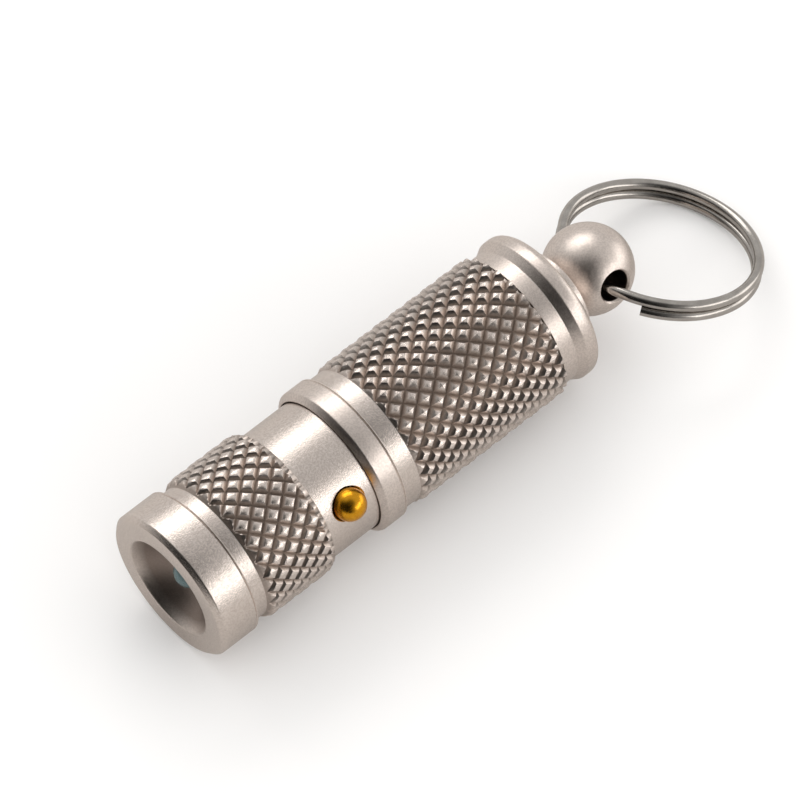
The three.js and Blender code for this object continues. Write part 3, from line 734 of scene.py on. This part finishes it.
button_low, button_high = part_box("push_button")
button_travel = next(j for j in frame["joints"] if j["name"] == "button_press")
button_out = -Vector(button_travel["axis"]).normalized()
button_middle = Vector(((button_low.x + button_high.x) / 2, axis.y, axis.z))
button_turn = button_out.to_track_quat("X", "Z").to_matrix().to_4x4()
button_place = Matrix.Translation(button_middle) @ button_turn
button_hole_radius = 1.55
drill_start = 3.0
drill_end = neck_radius + 0.30
countersink_start = neck_radius - 0.14
countersink_radius = button_hole_radius + drill_end - countersink_start
drill = turned("button_drill", [
    (drill_start, 0.0), (drill_start, button_hole_radius), (countersink_start, button_hole_radius),
    (drill_end, countersink_radius), (drill_end, 0.0)], button_place, 64)
joined(head_tube, drill, "DIFFERENCE")
fitted(head_tube, knurled_nickel_groove_shade_and_grime, "head", "satin_nickel", "head_tube", sharp=24)
o_ring("head_seal", "head_o_ring", black_rubber, "head")


# ---------- driver board, leads and contact spring ----------
# Behind the light, two sleeved leads run to a round driver board, whose gold plated spring
# presses on the battery.
def printed_board():
    made, tree = new_material("green_circuit_board")
    mask = object_noise(tree, 1.4, 2.0)
    surface(tree, between(tree, spread(tree, mask, 0.0, 1.0, 0.45, 0.55),
                          (0.015, 0.12, 0.05), (0.03, 0.19, 0.08)),
            spread(tree, mask, 0.28, 0.42), bumps(tree, mask, 0.03, 0.3), Metallic=0.0)
    return made


def moulded(name, light, dark, low, high):
    made, tree = new_material(name)
    haze = object_noise(tree, 0.4, 3.0)
    surface(tree, between(tree, haze, light, dark), spread(tree, haze, low, high),
            bumps(tree, object_noise(tree, 0.1), 0.01, 0.25), Metallic=0.0)
    return made


circuit_board = printed_board()
dressed(circuit_board, "driver_board", "switch_board")
dressed(moulded("red_insulation", (0.50, 0.02, 0.02), (0.40, 0.015, 0.015), 0.45, 0.6), "red_lead")
dressed(moulded("black_insulation", (0.02, 0.02, 0.02), (0.03, 0.03, 0.03), 0.45, 0.6), "black_lead")
gold_plate = bare_metal("gold_plate", (0.95, 0.68, 0.24), (0.84, 0.56, 0.16), 0.12, 0.24)
dressed(gold_plate, "contact_spring", "tail_contact")


# ---------- switch ----------
# A small moulded switch sits on its own board under the button, which pushes its plunger.
black_plastic = moulded("black_plastic", (0.02, 0.02, 0.02), (0.035, 0.035, 0.035), 0.38, 0.55)
dressed(black_plastic, "switch_housing", "switch_plunger")


# ---------- push button ----------
# The button is a turned plunger with a polished, gold plated dome. A flange inside the tube
# keeps it in, and a small rubber ring seals it in its hole.
def gold():
    made, tree = new_material("gold_button")
    rub = object_noise(tree, 0.35, 4.0, (1.0, 3.0, 1.0))
    rubbed = between(tree, spread(tree, rub, 0.0, 1.0), (0.84, 0.41, 0.028), (0.72, 0.32, 0.016))
    surface(tree, rubbed, spread(tree, rub, 0.20, 0.32),
            bumps(tree, object_noise(tree, 0.12, 3.0), 0.006, 0.25), Metallic=1.0)
    return made


button_radius = 1.45
button_rise = 0.15
flange_radius = 2.0
flange_thickness = 0.45
button_groove = 1.17
seal_half = 0.22
flange_gap = 0.1
flange_top = math.sqrt(neck_bore ** 2 - flange_radius ** 2) - flange_gap
seal_middle = (neck_radius + neck_bore) / 2
dome_middle = neck_radius + button_rise
button_outline = eased([
    (flange_top - flange_thickness, 0.0), (flange_top - flange_thickness, flange_radius),
    (flange_top, flange_radius), (flange_top, button_radius),
    (seal_middle - seal_half, button_radius), (seal_middle - seal_half, button_groove),
    (seal_middle + seal_half, button_groove), (seal_middle + seal_half, button_radius),
    *[(x, r, 0) for x, r in arc(dome_middle, 0.0, button_radius, 90, 0, 18)],
], 0.04)
push_button = turned("push_button_turned", button_outline, button_place, 96)
fitted(push_button, gold(), "button", "gold_button", "push_button")
dressed(black_rubber, "button_o_ring")


# ---------- collar ----------
# A plain ring pressed on the barrel's neck covers the joint where the head turns.
collar_low, collar_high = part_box("barrel_collar")
collar_length = (collar_high.x - collar_low.x) / MM
collar_chamfer = 0.48
collar_bore = 6.4
collar = turned("collar_turned", eased([
    (0.0, collar_bore, 0.04), (0.0, body_radius - collar_chamfer, 0.07),
    (collar_chamfer, body_radius, 0.09), *turned_line(collar_length - rear_rim),
    (collar_length, body_radius, 0.05),
    (collar_length, collar_bore, 0.03)], 0.05), along(collar_low.x), 192)
fitted(collar, satin_nickel, "barrel", "satin_nickel", "barrel_collar")


# ---------- barrel ----------
# The battery tube is turned, then knurled with deep pointed diamonds that run out over its
# front chamfer. Its neck goes into the collar and its rear is threaded for the cap.
barrel_low, barrel_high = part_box("barrel")
barrel_length = (barrel_high.x - barrel_low.x) / MM
barrel_neck = 1.45
barrel_neck_radius = 6.35
barrel_band_radius = 6.65
barrel_band_end = barrel_neck + 1.72
barrel_chamfer = 0.49
head_thread_bore = 5.9
cell_bore = 5.2
cap_bore = 5.85
head_thread_depth = (head_high.x - barrel_low.x) / MM + 0.05
cap_thread_depth = 3.05
barrel_rear = barrel_length + 0.1
seal_seat = (barrel_length - 0.48, cap_bore + 0.4)
cell_stop = barrel_length - cap_thread_depth + 0.25
barrel_rows = knurl_rows(barrel_band_end + barrel_chamfer - 2 * row_step, barrel_length - 0.06,
                         ramp(barrel_band_end, barrel_band_radius,
                              barrel_band_end + barrel_chamfer, body_radius))
# The barrel's grooves are painted darker: painted shade with some grime.
barrel_nickel_groove_shade_and_grime = nickel("barrel_nickel_groove_shade_and_grime", groove=(6.54, 6.92), stretch=(
    barrel_low.x + barrel_band_end * MM, barrel_high.x + MM))
barrel = knurled(
    "barrel_turned",
    [(0.0, head_thread_bore), (0.0, barrel_neck_radius), (barrel_neck, barrel_neck_radius),
     (barrel_neck, barrel_band_radius, 0.08), (barrel_band_end, barrel_band_radius, 0.05)],
    barrel_rows,
    [(barrel_rear, body_radius - 0.04, 0), (barrel_rear, seal_seat[1]), seal_seat,
     (seal_seat[0], cap_bore), (cell_stop, cap_bore), (cell_stop, cell_bore),
     (head_thread_depth, cell_bore), (head_thread_depth, head_thread_bore)],
    along(barrel_low.x),
    {"Depth": 0.50 * MM, "Sharpness": 1.9, "Crown": 0.32, "Burr": 0.06 * MM}, barrel_nickel_groove_shade_and_grime)
fitted(barrel, barrel_nickel_groove_shade_and_grime, "barrel", "satin_nickel", "barrel", sharp=20)


# ---------- battery ----------
# One small rechargeable cell: a drawn steel can in a shrunk blue sleeve, with a nylon gasket
# round its raised terminal.
steel_can = bare_metal("battery_steel", (0.62, 0.63, 0.64), (0.52, 0.53, 0.54), 0.22, 0.36)
dressed(steel_can, "battery_can", "battery_terminal")
dressed(moulded("white_nylon", (0.82, 0.80, 0.74), (0.76, 0.74, 0.68), 0.45, 0.6), "battery_gasket")
dressed(moulded("blue_shrink_film", (0.02, 0.09, 0.34), (0.03, 0.12, 0.42), 0.3, 0.45),
        "battery_sleeve")


# ---------- tail cap ----------
# The cap closes the barrel: a thread and a seal inside, then a plain band, a chamfer, a rim
# with a rounded rear edge, and a low boss that the swivel ball's stem turns in.
cap_low, cap_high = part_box("tail_cap")
cap_length = (cap_high.x - cap_low.x) / MM
cap_spigot = 3.0
cap_spigot_radius = 5.75
cap_band_radius = 6.5
cap_band_end = cap_spigot + 1.47
cap_rim_start = cap_band_end + 0.82
cap_rear_radius = 0.9
boss_length = 1.33
boss_radius = 4.0
cap_rear = cap_length - boss_length
stem_bore = 1.75
stem_wall_front = cap_length - 1.9
pocket_radius = 3.2
ball_low, ball_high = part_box("swivel_ball")
ball_radius = 4.0
ball_middle = Vector((ball_high.x - ball_radius * MM, axis.y, axis.z))
seat_radius = 4.35
stand_off = (ball_middle.x - cap_high.x) / MM
seat_mouth = math.sqrt(seat_radius ** 2 - stand_off ** 2)
seat_root = cap_length + stand_off - math.sqrt(seat_radius ** 2 - stem_bore ** 2)
cap_front_inside = (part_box("tail_contact")[1].x - cap_low.x) / MM + 0.05
tail_cap = turned("tail_cap_turned", eased([
    (0.0, cell_bore), (0.0, cap_spigot_radius), (cap_spigot, cap_spigot_radius),
    (cap_spigot, cap_band_radius, 0.07), (cap_band_end, cap_band_radius, 0.05),
    (cap_rim_start, body_radius, 0.09),
    *[(x, r, 0) for x, r in arc(cap_rear - cap_rear_radius, body_radius - cap_rear_radius,
                                cap_rear_radius, 90, 0, 10)],
    (cap_rear, boss_radius, 0.06),
    (cap_length, boss_radius, 0.14), (cap_length, seat_mouth, 0.04), (seat_root, stem_bore, 0.04),
    (stem_wall_front, stem_bore), (stem_wall_front, pocket_radius),
    (cap_front_inside, pocket_radius), (cap_front_inside, cell_bore),
], 0.05, 6), along(cap_low.x), 192)
fitted(tail_cap, satin_nickel, "barrel", "satin_nickel", "tail_cap")
o_ring("tail_seal", "tail_o_ring", black_rubber, "barrel")


# ---------- swivel ball ----------
# The ball is turned with its stem, drilled across for the key ring with a small chamfer at
# each mouth, and blasted and plated as the body is.
ring_swing = next(j for j in frame["joints"] if j["name"] == "ring_swing")
hole_direction = Vector(ring_swing["axis"]).normalized()
hole_turn = hole_direction.to_track_quat("X", "Z").to_matrix().to_4x4()
hole_place = Matrix.Translation(ball_middle) @ hole_turn
hole_radius = 1.4
hole_chamfer = 0.2
mouth_radius = hole_radius + hole_chamfer
mouth_angle = math.degrees(math.asin(mouth_radius / ball_radius))
hole_depth = ball_radius * math.cos(math.radians(mouth_angle)) - hole_chamfer
ball_skin = arc(0.0, 0.0, ball_radius, 180 - mouth_angle, mouth_angle, 40)
mouth_ease = 0.05
ball_outline = [
    (-hole_depth, hole_radius, 0.10), (*ball_skin[0], mouth_ease),
    *[(x, r, 0) for x, r in ball_skin[1:-1]],
    (*ball_skin[-1], mouth_ease), (hole_depth, hole_radius, 0.10),
]
ball = turned("swivel_ball_turned", eased(ball_outline, 0.05), hole_place, 128)
stem_radius = 1.6
stem_neck = 1.15
stem_front = (ball_low.x - ball_middle.x) / MM
clip_groove = (stem_front + 0.22, stem_front + 0.75)
stem_root = -2.2
stem_outline = eased([
    (stem_front, 0.0), (stem_front, stem_radius), (clip_groove[0], stem_radius),
    (clip_groove[0], stem_neck), (clip_groove[1], stem_neck), (clip_groove[1], stem_radius),
    (stem_root, stem_radius), (stem_root, 0.0)], 0.03)
stem = turned("stem", stem_outline, along(ball_middle.x), 96)
joined(ball, stem, "UNION")
# The inside of the ball's drilled hole is painted near black: painted shade.
ball_nickel_with_painted_shade = nickel("ball_nickel_with_painted_shade", painted_shade_colour=(0.16, 0.13, 0.115),
                     bore=(ball_middle, hole_direction, hole_radius))
fitted(ball, ball_nickel_with_painted_shade, "swivel", "satin_nickel", "swivel_ball", sharp=30)
dressed(brass, "swivel_washer")


# ---------- split ring ----------
# Two turns of round spring steel wire, polished, with square cut ends. Each turn steps over to
# the other's side once, so the wire passes through the ball's hole as a single strand.
def split_ring_tree():
    """Sweeps a round wire along two turns that change sides half way."""
    tree = bpy.data.node_groups.new("two_turns_of_wire", "GeometryNodeTree")
    tree.interface.new_socket("Geometry", in_out="OUTPUT", socket_type="NodeSocketGeometry")
    for name in ("Turn radius", "Wire radius", "Pitch", "Joggle", "First angle", "Last angle"):
        tree.interface.new_socket(name, in_out="INPUT", socket_type="NodeSocketFloat")
    tree.interface.new_socket("Material", in_out="INPUT", socket_type="NodeSocketMaterial")
    given = add_node(tree, "NodeGroupInput").outputs
    maths = maths_in(tree)
    line = add_node(tree, "GeometryNodeCurvePrimitiveLine")
    fine = add_node(tree, "GeometryNodeResampleCurve", {"Curve": line.outputs[0], "Count": wire_steps})
    share = add_node(tree, "GeometryNodeSplineParameter").outputs["Factor"]
    angle = maths("ADD", given["First angle"], maths(
        "MULTIPLY", share, maths("SUBTRACT", given["Last angle"], given["First angle"])))
    before = maths("SUBTRACT", 2 * math.pi, given["Joggle"])
    after = maths("ADD", 2 * math.pi, given["Joggle"])
    side = add_node(tree, "ShaderNodeMapRange", {
        "Value": angle, "From Min": before, "From Max": after, "To Min": -0.5, "To Max": 0.5},
        interpolation_type="SMOOTHSTEP").outputs[0]
    point = add_node(tree, "ShaderNodeCombineXYZ", {
        0: maths("MULTIPLY", maths("COSINE", angle), maths("MULTIPLY", given["Turn radius"], -1.0)),
        1: maths("MULTIPLY", side, given["Pitch"]),
        2: maths("MULTIPLY", maths("SINE", angle), given["Turn radius"])})
    bent = add_node(tree, "GeometryNodeSetPosition", {
        "Geometry": fine.outputs[0], "Position": point.outputs[0]})
    section = add_node(tree, "GeometryNodeCurvePrimitiveCircle", {
        "Resolution": wire_sides, "Radius": given["Wire radius"]})
    swept = add_node(tree, "GeometryNodeCurveToMesh", {
        "Curve": bent.outputs[0], "Profile Curve": section.outputs[0], "Fill Caps": True})
    real = add_node(tree, "GeometryNodeRealizeInstances", {0: swept.outputs[0]})
    painted = add_node(tree, "GeometryNodeSetMaterial", {
        "Geometry": real.outputs[0], "Material": given["Material"]})
    add_node(tree, "NodeGroupOutput", {0: painted.outputs[0]})
    return tree


def polished_wire():
    made, tree = new_material("polished_steel")
    haze = object_noise(tree, 1.2, 4.0)
    scratches = object_noise(tree, 0.09, 3.0, (0.4, 1.0, 1.0))
    steel = between(tree, spread(tree, haze, 0.0, 1.0), (0.52, 0.495, 0.465), (0.42, 0.395, 0.37))
    surface(tree, steel, spread(tree, scratches, 0.13, 0.27),
            bumps(tree, scratches, 0.008, 0.2), Metallic=1.0)
    return made


polished_steel = polished_wire()
dressed(polished_steel, "swivel_clip")
turn_radius = 8.45
wire_radius = 0.475
turn_pitch = 1.0
ring_droop = math.radians(-21.8)
ring_lean = math.radians(11.7)
ring_shift = 0.99
ring_pull = 0.9
hole_angle = math.radians(69)
wire_steps = 420
wire_sides = 28
joggle = math.radians(26)
first_end = math.radians(36.5)
last_end = math.radians(682)
ring_mesh = bpy.data.meshes.new("split_ring_wire")
split_ring = bpy.data.objects.new("split_ring_wire", ring_mesh)
bpy.context.scene.collection.objects.link(split_ring)
grown(split_ring, split_ring_tree(), {
    "Turn radius": turn_radius * MM, "Wire radius": wire_radius * MM, "Pitch": turn_pitch * MM,
    "Joggle": joggle, "First angle": first_end, "Last angle": last_end, "Material": polished_steel})
split_ring.data.transform(
    Matrix.Translation(ball_middle)
    @ Matrix.Rotation(hole_angle + ring_lean, 4, "X")
    @ Matrix.Rotation(ring_droop, 4, "Z")
    @ Matrix.Translation(((turn_radius - ring_pull) * MM, 0.0, ring_shift * MM)))
fitted(split_ring, polished_steel, "ring", "polished_steel", "split_ring", sharp=50)
